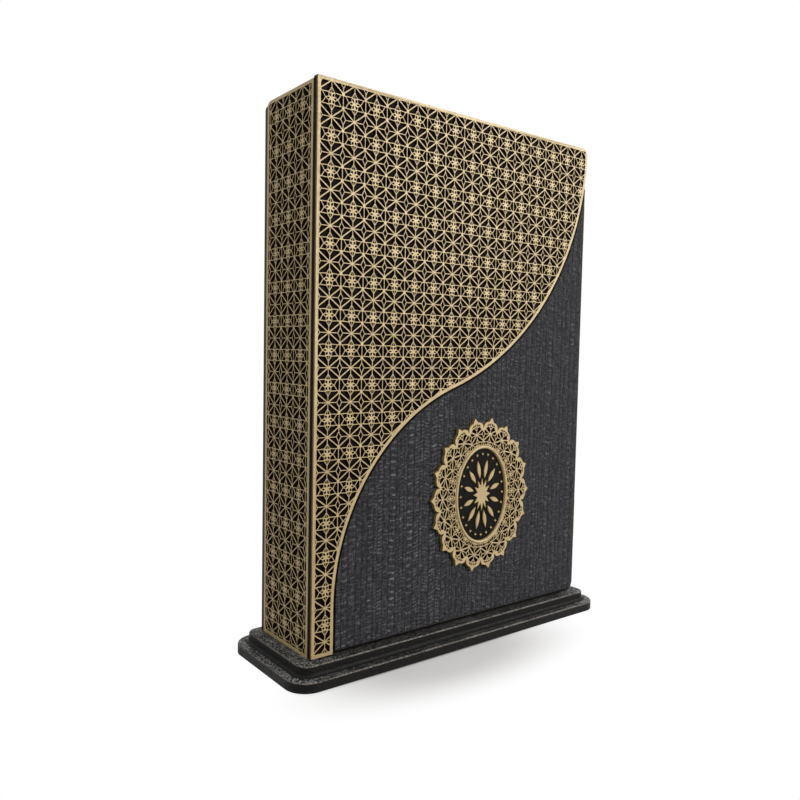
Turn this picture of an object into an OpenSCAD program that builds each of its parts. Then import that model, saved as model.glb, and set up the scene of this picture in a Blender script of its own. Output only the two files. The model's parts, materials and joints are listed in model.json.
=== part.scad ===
// Upright book box on a two-step plinth, with a hinged fretwork door
// Sizes are in millimetres. The origin is the middle of the resting face, the door faces -Y and Z is up.

/* [Box] */
// Width of the door, side to side
box_width = 196; // [170:1:240]
// Height of the door
box_height = 280; // [240:1:330]
// Depth from the door's face to the back's face
box_depth = 52.5; // [46:0.5:80]
// Thickness of the side walls
wall_thick = 7; // [6:0.5:10]
// Thickness of the floor and top panels
deck_thick = 5; // [4:0.5:8]
// Thickness of the back panel
back_thick = 2.4; // [2:0.2:5]
// Thickness of the velvet inside
lining_thick = 1; // [0.6:0.1:1.5]
// How far the door stands above the case's top
door_rise = 0.6; // [0.4:0.2:3]
// Radius of the rounded corners of the door and back
corner_round = 4; // [2:0.5:8]

/* [Door] */
// Thickness of the door's board
board_thick = 2.4; // [2.2:0.2:5]
// Clearance under the door
door_gap = 1; // [0.6:0.1:2]
// Thickness of the woven panel
textile_thick = 0.6; // [0.4:0.1:1]
// Dark gap between the curve's border and the woven panel
textile_gap = 0.8; // [0.3:0.1:1.5]
// Gap around a piece that is let in beside another
fit_gap = 0.1; // [0.05:0.05:0.3]

/* [Fretwork] */
// Thickness of the fretwork sheets
fret_thick = 1.2; // [1:0.1:1.8]
// Width of the frame around each fretwork sheet
fret_border = 2.2; // [1.6:0.1:3]
// Width of the bars between the holes
fret_bar = 0.7; // [0.6:0.05:1.2]
// Repeats across the door
repeats_across = 15; // [10:1:16]
// Repeats up the door
repeats_up = 16.5; // [12:0.1:18]
// How much taller a repeat is on the sides than on the door
side_stretch = 1.018; // [0.98:0.002:1.04]
// Where the curve starts along the bottom edge
curve_start = 11.6; // [8:0.2:20]

/* [Medallion] */
// Width over the petal tips
medallion_width = 76; // [60:1:90]
// Height over the petal tips
medallion_height = 86; // [70:1:100]
// Number of petals
petal_count = 18; // [12:2:24]
// Width of the dark oval
oval_width = 37; // [28:1:44]
// Height of the dark oval
oval_height = 53; // [40:1:58]
// Thickness of the petal ring
medallion_thick = 2; // [1.4:0.2:3]
// Width of the rim around the oval
rim_width = 1.8; // [1.2:0.2:3]

/* [Plinth] */
// Height of the lower step
lower_step_height = 5.2; // [4:0.2:10]
// Height of the upper step
upper_step_height = 5.5; // [4:0.5:10]
// How far the upper step stands out at the sides
side_ledge = 7.5; // [6:0.5:12]
// How far the upper step stands out at front and back
front_ledge = 4.5; // [3:0.5:10]
// How far the lower step stands out past the upper one
step_tread = 6; // [4:0.5:10]
// Corner radius of the upper step
upper_corner = 6; // [4:0.5:12]
// Rounding along the top edges of the steps
step_round = 1; // [0.5:0.25:2]
// Thickness of the felt underneath
felt_thick = 0.8; // [0.5:0.1:1.5]

/* [Hinges] */
// Height of a hinge
hinge_height = 24; // [18:1:36]
// Thickness of a hinge leaf
leaf_thick = 0.6; // [0.5:0.05:1]
// Gap between moving pieces
moving_gap = 0.3; // [0.3:0.05:0.5]
// Outer radius of a knuckle
knuckle_radius = 1.6; // [1.5:0.1:2.4]
// Radius of a hinge pin
pin_radius = 0.7; // [0.6:0.05:0.9]
// Clearance of the pin in its knuckles
pin_clearance = 0.05; // [0.03:0.01:0.09]
// Distance of a hinge's middle from the door's end
hinge_inset = 46; // [36:1:70]

/* [Hidden] */
$fn = 48;

// Colours
gold = [0.76, 0.66, 0.48];
black = [0.06, 0.055, 0.05];
charcoal = [0.22, 0.22, 0.23];
velvet = [0.12, 0.1, 0.1];
brass = [0.72, 0.58, 0.32];
steel = [0.7, 0.7, 0.72];

// How far a cut runs past the face it starts from
overcut = 1;

// Levels and faces
half_width = box_width / 2;
front_face = -box_depth / 2;
back_face = box_depth / 2;
lower_top = felt_thick + lower_step_height;
plinth_top = lower_top + upper_step_height;
door_bottom = plinth_top + door_gap;
door_top = door_bottom + box_height;
case_top = door_top - door_rise;
board_face = front_face + fret_thick;
textile_face = board_face - textile_thick;
door_rear = board_face + board_thick;
seam = 2 * leaf_thick + moving_gap;
case_front = door_rear + seam;
case_back = back_face - back_thick;
case_depth = case_back - case_front;
case_height = case_top - plinth_top;
wall_outside = half_width - fret_thick;
wall_inside = wall_outside - wall_thick;
wall_middle = (wall_outside + wall_inside) / 2;
floor_top = plinth_top + deck_thick;
deck_bottom = case_top - deck_thick;

// Plinth
upper_width = box_width + 2 * side_ledge;
upper_depth = box_depth + 2 * front_ledge;
lower_corner = upper_corner + step_tread;
felt_inset = 3;
plinth_screw_x = 0.36 * box_width;
plinth_screw_y = 0.25 * box_depth;
plinth_screw_radius = 1.5;
plinth_head_radius = 3;
plinth_head_height = 2.4;
plinth_screw_cover = 1;
plinth_screw_top = floor_top - plinth_screw_cover;

// Hinges
hinge_x = half_width + knuckle_radius + moving_gap + fit_gap;
hinge_y = door_rear + seam / 2;
bore_radius = pin_radius + pin_clearance;
knuckle_height = (hinge_height - 2 * moving_gap) / 3;
leaf_margin = 0.5;
leaf_inner = wall_inside + leaf_margin;
bore_margin = 0.15;
leaf_tab = hinge_x - bore_radius - bore_margin;
weld = 0.1;
head_margin = 0.3;
head_radius = knuckle_radius - head_margin;
head_height = 0.8;
screw_radius = 0.6;
frame_screw_length = 6;
screw_cover = 0.6;
door_screw_length = board_thick - screw_cover;
screw_spread = 0.3 * hinge_height;
hinge_heights = [door_bottom + hinge_inset, door_top - hinge_inset];

// Catch
magnet_radius = 2.5;
frame_magnet_depth = 3;
door_magnet_depth = 1.4;
magnet_heights = [door_bottom + 0.3 * box_height, door_bottom + 0.7 * box_height];
bumper_radius = 2.2;
bumper_heights = [door_bottom + 0.05 * box_height, door_top - 0.05 * box_height];

// Curve between fretwork and textile: two arcs that meet smoothly, the upper one up to the door's right edge
curve_overrun = 0.2;
low_centre = [0.652 * box_width, 0.084 * box_height];
low_radius = low_centre[0] - curve_start;
high_level = 1.0175 * box_height;
curve_reach = box_width + curve_overrun - low_centre[0];
curve_rise = high_level - low_centre[1];
high_radius = (pow(curve_reach, 2) + pow(curve_rise, 2) - pow(low_radius, 2))
  / (2 * (low_radius + curve_reach));
high_centre = [box_width + curve_overrun - high_radius, high_level];
join_angle = atan2(high_centre[1] - low_centre[1], high_centre[0] - low_centre[0]);
arc_steps = 26;
spare = 20;

// One repeat of the fretwork, about the middle of a flower
cell = [box_width / repeats_across, box_height / repeats_up];
first_flower = [0.59 * cell[0], box_height - 0.566 * cell[1]];
crossing = [0, 0.5 * cell[1]];
corner = [0.5 * cell[0], 0.218 * cell[1]];
star_tip = [0, 0.325 * cell[1]];
shoulder = [0.135 * cell[0], 0.17 * cell[1]];
waist = [0.205 * cell[0], 0];
eye_side = [0.394 * cell[0], 0.5 * cell[1]];
eye_end = [0.5 * cell[0], 0.355 * cell[1]];
smallest_hole = 0.5;

// Medallion
medallion_at = [0.5685 * box_width - half_width, door_bottom + 0.253 * box_height];
valley = 0.885;
tip_share = 0.3;
tip_slope = 1.35;
petal_steps = 6;
oval_steps = 72;
star_reach = 0.785;
star_spokes = [
  [0, 0.94], [0.36, 0.89], [0.5, 0.785], [0.34, 0.675], [-0.34, 0.675], [-0.5, 0.785], [-0.36, 0.89]];
rim_rise = 0.6;

// Ornament in the oval: reaches are shares of the oval's half width and half height
ornament_count = 12;
rosette_tip = 0.36;
rosette_notch = 0.2;
leaf_start = 0.36;
leaf_end = 0.77;
leaf_width = 2.6;
leaf_steps = 6;
dot_reach = 0.885;
dot_radius = 0.95;
dot_notch = 0.5;

// Plane geometry
function unit(v) = v / norm(v);
function turn(shape) = [for (i = [len(shape) - 1:-1:0]) shape[i]];
function mirrored(shape, sx, sz) =
  let (moved = [for (v = shape) [sx * v[0], sz * v[1]]]) sx * sz > 0 ? moved : turn(moved);
function moved(shape, by) = [for (v = shape) v + by];
function normals(shape) =
  [for (i = [0:len(shape) - 1]) let (e = unit(shape[(i + 1) % len(shape)] - shape[i])) [-e[1], e[0]]];
function inset(shape, by) =
  let (side = normals(shape), n = len(shape))
  [for (i = [0:n - 1]) let (a = side[(i + n - 1) % n], b = side[i]) shape[i] + by * (a + b) / (1 + a * b)];
function area(shape) =
  let (n = len(shape))
  n < 3 ? 0 : [for (i = [0:n - 1]) cross(shape[i], shape[(i + 1) % n])] * [for (i = [1:n]) 0.5];
function middle(shape) = [for (k = [0, 1]) [for (v = shape) v[k]] * [for (v = shape) 1 / len(shape)]];
function clip(shape, edge) =
  let (n = len(shape))
  n == 0 ? [] : [
    for (i = [0:n - 1])
      let (a = shape[i], b = shape[(i + 1) % n], da = edge[1] - edge[0] * a, db = edge[1] - edge[0] * b)
      each concat(da >= 0 ? [a] : [], da * db < 0 ? [a + (b - a) * da / (da - db)] : [])
  ];
function clipped(shape, edges, i = 0) =
  i == len(edges) ? shape : clipped(clip(shape, edges[i]), edges, i + 1);
function within(shape, edges) =
  min([for (e = edges, v = shape) e[1] - e[0] * v]) >= 0;
function arc(centre, radius, from, to, steps) =
  [for (k = [0:steps]) let (a = from + (to - from) * k / steps) centre + radius * [cos(a), sin(a)]];
function ring_point(width, height, reach, angle) =
  reach * [width / 2 * sin(angle), height / 2 * cos(angle)];

// Holes of one repeat: each whole hole, then the halves that a border may cut
star_hole = inset([crossing, star_tip, shoulder, corner], fret_bar / 2);
star_middle_top = [0, crossing[1] - fret_bar / 2 / sin(atan2(corner[0], crossing[1] - corner[1]))];
star_middle_low = [0, star_tip[1] + fret_bar / 2 / sin(atan2(shoulder[0], star_tip[1] - shoulder[1]))];
star_half = [star_middle_top, star_middle_low, star_hole[2], star_hole[3]];
star_whole = concat([for (i = [1:3]) star_half[i]], [star_half[0]],
  [for (i = [3:-1:2]) [-star_half[i][0], star_half[i][1]]]);
fan_hole = inset([crossing, corner, eye_end, eye_side], fret_bar / 2);
fan_near = [fret_bar / 2 / sin(atan2(crossing[1] - corner[1], corner[0])), crossing[1]];
fan_far_angle = atan2(eye_side[1] - eye_end[1], eye_end[0] - eye_side[0]);
fan_far = [eye_side[0] - fret_bar / 2 / sin(fan_far_angle), crossing[1]];
fan_half = [fan_near, fan_hole[1], fan_hole[2], fan_far];
fan_whole = concat([for (i = [0:3]) fan_half[i]],
  [for (i = [2:-1:1]) [fan_half[i][0], 2 * crossing[1] - fan_half[i][1]]]);
eye_hole = inset([
  eye_side, eye_end, [cell[0] - eye_side[0], eye_side[1]], [eye_end[0], cell[1] - eye_end[1]]], fret_bar / 2);
lens_hole = inset([
  waist, [corner[0], -corner[1]], [cell[0] - waist[0], 0], corner], fret_bar / 2);
fan_lower = turn([for (v = fan_half) [v[0], 2 * crossing[1] - v[1]]]);
repeat_holes = [
  for (s = [1, -1]) [mirrored(star_whole, 1, s), [for (t = [1, -1]) mirrored(star_half, t, s)]],
  for (s = [1, -1]) [mirrored(fan_whole, s, 1), [mirrored(fan_half, s, 1), mirrored(fan_lower, s, 1)]],
  [eye_hole, [eye_hole]],
  [lens_hole, [lens_hole]]
];

// Edges that bound the holes of a sheet near a point
function frame_edges(width, height) = [
  [[-1, 0], -fret_border], [[1, 0], width - fret_border],
  [[0, -1], -fret_border], [[0, 1], height - fret_border]];
function curve_edge(at) =
  let (low = unit(at - low_centre), high = unit(at - high_centre), off = fret_border / 2)
  at[1] < low_centre[1] ? [[1, 0], curve_start - off]
  : cross(high_centre - low_centre, at - low_centre) > 0 ? [-low, -(low * low_centre + low_radius + off)]
  : [high, high * high_centre + high_radius - off];
function sheet_edges(at, width, height, curved) =
  concat(frame_edges(width, height), curved ? [curve_edge(at)] : []);

// All holes of a sheet, with one flower at the given point
function sheet_holes(width, height, flower, curved) = [
  for (column = [-1:ceil(width / cell[0])], row = [-1:ceil(height / cell[1])], hole = repeat_holes)
    let (by = [flower[0] + cell[0] * column, flower[1] - cell[1] * row],
      whole = moved(hole[0], by), inside = within(whole, sheet_edges(middle(whole), width, height, curved)))
    each inside ? [whole] : [
      for (half = hole[1])
        let (part = moved(half, by), cut = clipped(part, sheet_edges(middle(part), width, height, curved)))
        if (abs(area(cut)) > smallest_hole) cut
    ]
];

// Outline of the door, with its lower left corner at the origin
door_outline = concat(
  [[0, 0]],
  arc([box_width - corner_round, corner_round], corner_round, -90, 0, 6),
  arc([box_width - corner_round, box_height - corner_round], corner_round, 0, 90, 6),
  [[0, box_height]]);

// Everything on the fretwork's side of the curve, moved towards the textile
function fret_side(off) = concat(
  [[-spare, -spare], [curve_start + off, -spare]],
  arc(low_centre, low_radius - off, 180, join_angle, arc_steps),
  arc(high_centre, high_radius + off, join_angle - 180, 0, arc_steps),
  [[high_centre[0] + high_radius + off, box_height + 2 * spare], [-spare, box_height + 2 * spare]]);

// Helpers
module on_door(depth, thick) {
  translate([-half_width, depth, door_bottom]) rotate([90, 0, 0]) linear_extrude(thick) children();
}

module on_medallion(depth, thick) {
  translate([medallion_at[0], depth, medallion_at[1]]) rotate([90, 0, 0]) linear_extrude(thick) children();
}

module along_y(radius, length) {
  rotate([-90, 0, 0]) cylinder(r = radius, h = length);
}

module oval(width, height) {
  polygon([for (k = [0:oval_steps - 1]) ring_point(width, height, 1, 360 * k / oval_steps)]);
}

module step_profile(reach, height) {
  square([reach, height - step_round]);
  square([reach - step_round, height]);
  translate([reach - step_round, height - step_round]) circle(step_round);
}

module step(width, depth, height, round) {
  x = width / 2 - round;
  y = depth / 2 - round;
  translate([-x, -y, 0]) cube([2 * x, 2 * y, height]);
  for (s = [0, 1]) rotate([0, 0, 180 * s]) {
    translate([x, y, 0]) rotate([90, 0, 0]) linear_extrude(2 * y) step_profile(round, height);
    translate([-x, y, 0]) rotate([90, 0, 90]) linear_extrude(2 * x) step_profile(round, height);
    translate([x, y, 0]) rotate_extrude(angle = 90) step_profile(round, height);
    translate([-x, y, 0]) rotate([0, 0, 90]) rotate_extrude(angle = 90) step_profile(round, height);
  }
}

module at_plinth_screws() {
  for (x = [-1, 1], y = [-1, 1]) translate([x * plinth_screw_x, y * plinth_screw_y, 0]) children();
}

module at_hinge_screws(depth) {
  for (z = hinge_heights, s = [-1, 1]) translate([wall_middle, depth, z + s * screw_spread]) children();
}

function stretched(shape) = [for (v = shape) [v[0], v[1] * side_stretch]];

// A side's sheet: its holes are laid out on a lower sheet and then stretched to the height
module fret_sheet(width, height) {
  low_height = height / side_stretch;
  flower = [width / 2, low_height - (box_height - first_flower[1])];
  linear_extrude(fret_thick) difference() {
    square([width, height]);
    for (hole = sheet_holes(width, low_height, flower, false)) polygon(stretched(hole));
  }
}

module side_lattice(near) {
  translate([near, case_front, plinth_top]) rotate([90, 0, 90]) fret_sheet(case_depth, case_height);
}

module wall(side) {
  translate([min(side * wall_inside, side * wall_outside), case_front, plinth_top])
    cube([wall_thick, case_depth, case_height]);
}

module leaf_plate(near) {
  translate([leaf_inner, near, 0]) cube([half_width - leaf_inner, leaf_thick, hinge_height]);
}

module knuckle(near, from) {
  translate([hinge_x, hinge_y, from]) cylinder(r = knuckle_radius, h = knuckle_height);
  translate([half_width - weld, near, from]) cube([leaf_tab - half_width + weld, leaf_thick, knuckle_height]);
}

module hinge_leaf(height, near, froms) {
  difference() {
    translate([0, 0, height - hinge_height / 2]) {
      leaf_plate(near);
      for (from = froms) knuckle(near, from);
    }
    translate([hinge_x, hinge_y, height - hinge_height]) cylinder(r = bore_radius, h = 2 * hinge_height);
    for (s = [-1, 1]) translate([wall_middle, near - overcut, height + s * screw_spread])
      along_y(screw_radius + fit_gap, leaf_thick + 2 * overcut);
  }
}

module frame_leaf(height) {
  color(brass) hinge_leaf(height, case_front - leaf_thick, [0, 2 * (knuckle_height + moving_gap)]);
}

module door_leaf(height) {
  color(brass) hinge_leaf(height, door_rear, [knuckle_height + moving_gap]);
}

module hinge_pin(height) {
  color(brass) translate([hinge_x, hinge_y, height - hinge_height / 2]) {
    translate([0, 0, -head_height / 2]) cylinder(r = pin_radius, h = hinge_height + head_height);
    translate([0, 0, -head_height]) cylinder(r = head_radius, h = head_height);
    translate([0, 0, hinge_height]) cylinder(r = head_radius, h = head_height);
  }
}

// Plinth
module felt_pad() {
  color(velvet) linear_extrude(felt_thick) {
    x = upper_width / 2 + step_tread - felt_inset;
    y = upper_depth / 2 + step_tread - felt_inset;
    r = lower_corner - felt_inset;
    polygon(concat(arc([x - r, y - r], r, 0, 90, 12), arc([r - x, y - r], r, 90, 180, 12),
      arc([r - x, r - y], r, 180, 270, 12), arc([x - r, r - y], r, 270, 360, 12)));
  }
}

module plinth_lower() {
  color(black) difference() {
    translate([0, 0, felt_thick])
      step(upper_width + 2 * step_tread, upper_depth + 2 * step_tread, lower_step_height, lower_corner);
    at_plinth_screws() {
      translate([0, 0, felt_thick - overcut])
        cylinder(r = plinth_head_radius + fit_gap, h = overcut + plinth_head_height);
      cylinder(r = plinth_screw_radius + fit_gap, h = plinth_top);
    }
  }
}

module plinth_upper() {
  color(black) difference() {
    translate([0, 0, lower_top]) step(upper_width, upper_depth, upper_step_height, upper_corner);
    at_plinth_screws() cylinder(r = plinth_screw_radius + fit_gap, h = plinth_top + overcut);
  }
}

module plinth_screws() {
  color(steel) at_plinth_screws() {
    translate([0, 0, felt_thick]) cylinder(r = plinth_head_radius, h = plinth_head_height);
    translate([0, 0, felt_thick + overcut])
      cylinder(r = plinth_screw_radius, h = plinth_screw_top - felt_thick - overcut);
  }
}

// Case
module floor_panel() {
  color(black) difference() {
    translate([-wall_inside, case_front, plinth_top]) cube([2 * wall_inside, case_depth, deck_thick]);
    at_plinth_screws() cylinder(r = plinth_screw_radius + fit_gap, h = plinth_screw_top);
  }
}

module top_panel() {
  color(black) translate([-wall_inside, case_front, deck_bottom])
    cube([2 * wall_inside, case_depth, deck_thick]);
}

module left_wall() {
  color(black) difference() {
    wall(-1);
    for (z = magnet_heights) translate([-wall_middle, case_front - overcut, z])
      along_y(magnet_radius + fit_gap, overcut + frame_magnet_depth);
  }
}

module right_wall() {
  color(black) difference() {
    wall(1);
    at_hinge_screws(case_front - overcut)
      along_y(screw_radius + fit_gap, overcut + frame_screw_length);
  }
}

module back_panel() {
  color(black) translate([0, back_face, plinth_top]) rotate([90, 0, 0]) linear_extrude(back_thick)
    polygon(concat([[-half_width, 0], [half_width, 0]],
      arc([half_width - corner_round, case_height - corner_round], corner_round, 0, 90, 6),
      arc([corner_round - half_width, case_height - corner_round], corner_round, 90, 180, 6)));
}

module left_lattice() {
  color(gold) side_lattice(-half_width);
}

module right_lattice() {
  color(gold) side_lattice(wall_outside);
}

// Velvet inside the case
module lining_back() {
  color(velvet) translate([-wall_inside, case_back - lining_thick, floor_top])
    cube([2 * wall_inside, lining_thick, deck_bottom - floor_top]);
}

module lining_side(near) {
  translate([near, case_front, floor_top])
    cube([lining_thick, case_depth - lining_thick, deck_bottom - floor_top]);
}

module lining_left() {
  color(velvet) lining_side(-wall_inside);
}

module lining_right() {
  color(velvet) lining_side(wall_inside - lining_thick);
}

module lining_deck(near) {
  translate([lining_thick - wall_inside, case_front, near])
    cube([2 * (wall_inside - lining_thick), case_depth - lining_thick, lining_thick]);
}

module lining_floor() {
  color(velvet) lining_deck(floor_top);
}

module lining_top() {
  color(velvet) lining_deck(deck_bottom - lining_thick);
}

// Hinges and catch
module upper_frame_leaf() {
  frame_leaf(hinge_heights[1]);
}

module lower_frame_leaf() {
  frame_leaf(hinge_heights[0]);
}

module upper_door_leaf() {
  door_leaf(hinge_heights[1]);
}

module lower_door_leaf() {
  door_leaf(hinge_heights[0]);
}

module upper_hinge_pin() {
  hinge_pin(hinge_heights[1]);
}

module lower_hinge_pin() {
  hinge_pin(hinge_heights[0]);
}

module frame_hinge_screws() {
  color(brass) at_hinge_screws(case_front - leaf_thick)
    along_y(screw_radius, leaf_thick + frame_screw_length);
}

module door_hinge_screws() {
  color(brass) at_hinge_screws(door_rear - door_screw_length)
    along_y(screw_radius, leaf_thick + door_screw_length);
}

module frame_magnets() {
  color(steel) for (z = magnet_heights) translate([-wall_middle, case_front, z])
    along_y(magnet_radius, frame_magnet_depth);
}

module door_magnets() {
  color(steel) for (z = magnet_heights) translate([-wall_middle, door_rear - door_magnet_depth, z])
    along_y(magnet_radius, door_magnet_depth);
}

module bumper_pads() {
  color(charcoal) for (z = bumper_heights) translate([-wall_middle, door_rear + moving_gap, z])
    along_y(bumper_radius, seam - moving_gap);
}

// Door
module door_board() {
  color(black) difference() {
    on_door(door_rear, board_thick) polygon(door_outline);
    at_hinge_screws(door_rear - door_screw_length)
      along_y(screw_radius + fit_gap, door_screw_length + overcut);
    for (z = magnet_heights) translate([-wall_middle, door_rear - door_magnet_depth, z])
      along_y(magnet_radius + fit_gap, door_magnet_depth + overcut);
  }
}

module textile_panel() {
  color(charcoal) on_door(board_face, textile_thick) difference() {
    polygon(door_outline);
    polygon(fret_side(fret_border / 2 + textile_gap));
  }
}

module door_lattice() {
  color(gold) on_door(board_face, fret_thick) difference() {
    intersection() {
      polygon(door_outline);
      polygon(fret_side(fret_border / 2));
    }
    for (hole = sheet_holes(box_width, box_height, first_flower, true)) polygon(hole);
  }
}

module door_lining() {
  color(velvet) translate([lining_thick - wall_inside, door_rear, floor_top])
    cube([2 * (wall_inside - lining_thick), lining_thick - moving_gap, deck_bottom - floor_top]);
}

// Medallion
// Rise of a petal from its valley, from its middle (0) to its end (1): a pointed tip on a round shoulder
function petal_rise(across) =
  across < tip_share ? 1 - tip_slope * across
  : (1 - tip_slope * tip_share) * sqrt(max(0, 1 - pow((across - tip_share) / (1 - tip_share), 2)));

function petal_reach(angle) =
  let (turns = angle * petal_count / 360, across = 2 * abs(turns - floor(turns) - 0.5))
  valley + (1 - valley) * petal_rise(across);

function star_point(petal, spoke) =
  ring_point(medallion_width, medallion_height, spoke[1], 360 / petal_count * (petal + 0.5 + spoke[0]));

function star_holes(petal) = [
  for (k = [0:len(star_spokes) - 1])
    let (next = star_spokes[(k + 1) % len(star_spokes)])
    inset([star_point(petal, [0, star_reach]), star_point(petal, next), star_point(petal, star_spokes[k])],
      fret_bar / 2)
];

module medallion_ring() {
  color(gold) on_medallion(textile_face, medallion_thick) difference() {
    polygon([for (k = [0:petal_count * petal_steps * 2 - 1])
      let (a = 180 * k / (petal_count * petal_steps))
      ring_point(medallion_width, medallion_height, petal_reach(a), a)]);
    oval(oval_width + 2 * (rim_width + fit_gap), oval_height + 2 * (rim_width + fit_gap));
    for (petal = [0:petal_count - 1], hole = star_holes(petal)) polygon(hole);
  }
}

module medallion_rim() {
  color(gold) on_medallion(textile_face, medallion_thick + rim_rise) difference() {
    oval(oval_width + 2 * rim_width, oval_height + 2 * rim_width);
    oval(oval_width, oval_height);
  }
}

module medallion_field() {
  color(black) on_medallion(textile_face, medallion_thick / 2)
    oval(oval_width - 2 * fit_gap, oval_height - 2 * fit_gap);
}

module dot() {
  polygon([for (k = [0:7]) (k % 2 == 0 ? dot_radius : dot_notch) * [sin(45 * k), cos(45 * k)]]);
}

module rosette() {
  polygon([for (k = [0:2 * ornament_count - 1])
    ring_point(oval_width, oval_height, k % 2 == 0 ? rosette_tip : rosette_notch, 180 * k / ornament_count)]);
}

module leaf(angle) {
  inner = ring_point(oval_width, oval_height, leaf_start, angle);
  along = ring_point(oval_width, oval_height, leaf_end, angle) - inner;
  across = leaf_width / 2 * unit([-along[1], along[0]]);
  polygon(concat(
    [for (k = [0:leaf_steps]) inner + along * k / leaf_steps + across * sin(180 * k / leaf_steps)],
    [for (k = [leaf_steps - 1:-1:1]) inner + along * k / leaf_steps - across * sin(180 * k / leaf_steps)]));
}

module medallion_ornament() {
  pitch = 360 / ornament_count;
  color(gold) on_medallion(textile_face - medallion_thick / 2, medallion_thick / 2) {
    rosette();
    for (k = [0:ornament_count - 1]) leaf(pitch * (k + 0.5));
    for (k = [0:2 * ornament_count - 1])
      translate(ring_point(oval_width, oval_height, dot_reach, pitch * k / 2)) dot();
  }
}

felt_pad();
plinth_lower();
plinth_upper();
plinth_screws();
floor_panel();
top_panel();
left_wall();
right_wall();
back_panel();
left_lattice();
right_lattice();
lining_back();
lining_left();
lining_right();
lining_floor();
lining_top();
upper_frame_leaf();
lower_frame_leaf();
upper_hinge_pin();
lower_hinge_pin();
frame_hinge_screws();
frame_magnets();
bumper_pads();
door_board();
textile_panel();
door_lattice();
door_lining();
medallion_ring();
medallion_rim();
medallion_field();
medallion_ornament();
upper_door_leaf();
lower_door_leaf();
door_hinge_screws();
door_magnets();
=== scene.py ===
# Looks of an upright book box with a fretwork door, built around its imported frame
import json
import math
import random

import bpy
from mathutils import Matrix, Vector
from mathutils.geometry import delaunay_2d_cdt


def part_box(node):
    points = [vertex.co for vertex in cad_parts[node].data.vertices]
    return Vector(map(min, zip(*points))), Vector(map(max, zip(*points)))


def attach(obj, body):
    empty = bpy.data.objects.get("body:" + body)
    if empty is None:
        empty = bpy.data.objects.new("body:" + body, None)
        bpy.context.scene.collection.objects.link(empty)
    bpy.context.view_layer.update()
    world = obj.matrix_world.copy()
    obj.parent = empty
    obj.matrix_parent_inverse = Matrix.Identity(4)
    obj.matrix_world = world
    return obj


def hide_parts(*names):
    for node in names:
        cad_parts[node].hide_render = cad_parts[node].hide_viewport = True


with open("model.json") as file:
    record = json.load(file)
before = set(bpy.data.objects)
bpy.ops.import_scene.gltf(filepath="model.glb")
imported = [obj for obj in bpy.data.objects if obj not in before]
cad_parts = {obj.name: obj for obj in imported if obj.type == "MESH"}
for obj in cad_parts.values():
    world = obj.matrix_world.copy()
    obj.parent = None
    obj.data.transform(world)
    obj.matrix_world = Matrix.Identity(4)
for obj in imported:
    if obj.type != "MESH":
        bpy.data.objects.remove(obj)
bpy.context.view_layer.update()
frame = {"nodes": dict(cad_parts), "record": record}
MM = 0.001

# Sizes taken from the frame, in millimetres


def node_box(node):
    low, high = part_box(node)
    return [v / MM for v in low], [v / MM for v in high]


door_low, door_high = node_box("door_lattice")
board_low, board_high = node_box("door_board")
textile_low, textile_high = node_box("textile_panel")
side_low, side_high = node_box("left_lattice")
ring_low, ring_high = node_box("medallion_ring")
rim_low, rim_high = node_box("medallion_rim")
field_low, field_high = node_box("medallion_field")
ornament_low, ornament_high = node_box("medallion_ornament")

door_width = board_high[0] - board_low[0]
door_height = board_high[2] - board_low[2]
door_left = board_low[0]
door_bottom = board_low[2]
door_face = door_low[1]
fret_thick = door_high[1] - door_low[1]

# Fretwork pattern: one repeat about the middle of a flower, its points as shares of the repeat
REPEATS_ACROSS = 15
REPEATS_UP = 16.5
SIDE_STRETCH = 1.018
BORDER = 1.7
MAIN_BAR = 0.63
FINE_BAR = 0.45
ARM_BAR = 0.32
SIDE_MAIN_BAR = 0.54
SIDE_FINE_BAR = 0.38
SEAM_COVER = 0.9
SIDE_ROUND = 3.0
CORNER_GAP = 0.8
FRET_EDGE = 0.1
SMALLEST_HOLE = 0.12
FLOWER_IN = 0.59
FLOWER_DOWN = 0.566
EYE_SIDE = 0.394
EYE_END = 0.35
cell_x = door_width / REPEATS_ACROSS
cell_y = door_height / REPEATS_UP
first_flower = (FLOWER_IN * cell_x, door_height - FLOWER_DOWN * cell_y)

# Holes of a flower: degrees from level, then start, widest place and end from its middle, and half width
UPRIGHT_SLIT = (60, 0.85, 1.9, 2.8, 0.65)
LEVEL_SLIT = (0, 1.0, 2.05, 2.85, 0.55)

# S-curve between fretwork and textile: two arcs that meet smoothly
CURVE_START = 11.6
CURVE_OVERRUN = 0.2
TEXTILE_GAP = 1.6
TEXTILE_RISE = 1.0
CORNER_ROUND = 4.0
CORNER_STEPS = 8
ARC_STEPS = 60
LOW_CENTRE_IN = 0.652
LOW_CENTRE_UP = 0.084
HIGH_CENTRE_UP = 1.0175
low_centre = Vector((LOW_CENTRE_IN * door_width, LOW_CENTRE_UP * door_height))
low_radius = low_centre.x - CURVE_START
high_level = HIGH_CENTRE_UP * door_height
curve_reach = door_width + CURVE_OVERRUN - low_centre.x
curve_rise = high_level - low_centre.y
high_radius = (curve_reach ** 2 + curve_rise ** 2 - low_radius ** 2) / (2 * (low_radius + curve_reach))
high_centre = Vector((door_width + CURVE_OVERRUN - high_radius, high_level))
join_angle = math.atan2(high_centre.y - low_centre.y, high_centre.x - low_centre.x)

# Sizes of the medallion
MEDALLION_WIDTH = 76.0
MEDALLION_HEIGHT = 89.0
PETALS = 18
VALLEY = 0.855
TIP_SHARE = 0.3
TIP_SLOPE = 1.35
medallion_x = (field_low[0] + field_high[0]) / 2
medallion_z = (field_low[2] + field_high[2]) / 2
oval_width = field_high[0] - field_low[0]
oval_height = field_high[2] - field_low[2]
rim_width = rim_high[0] - rim_low[0]
rim_height = rim_high[2] - rim_low[2]

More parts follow.
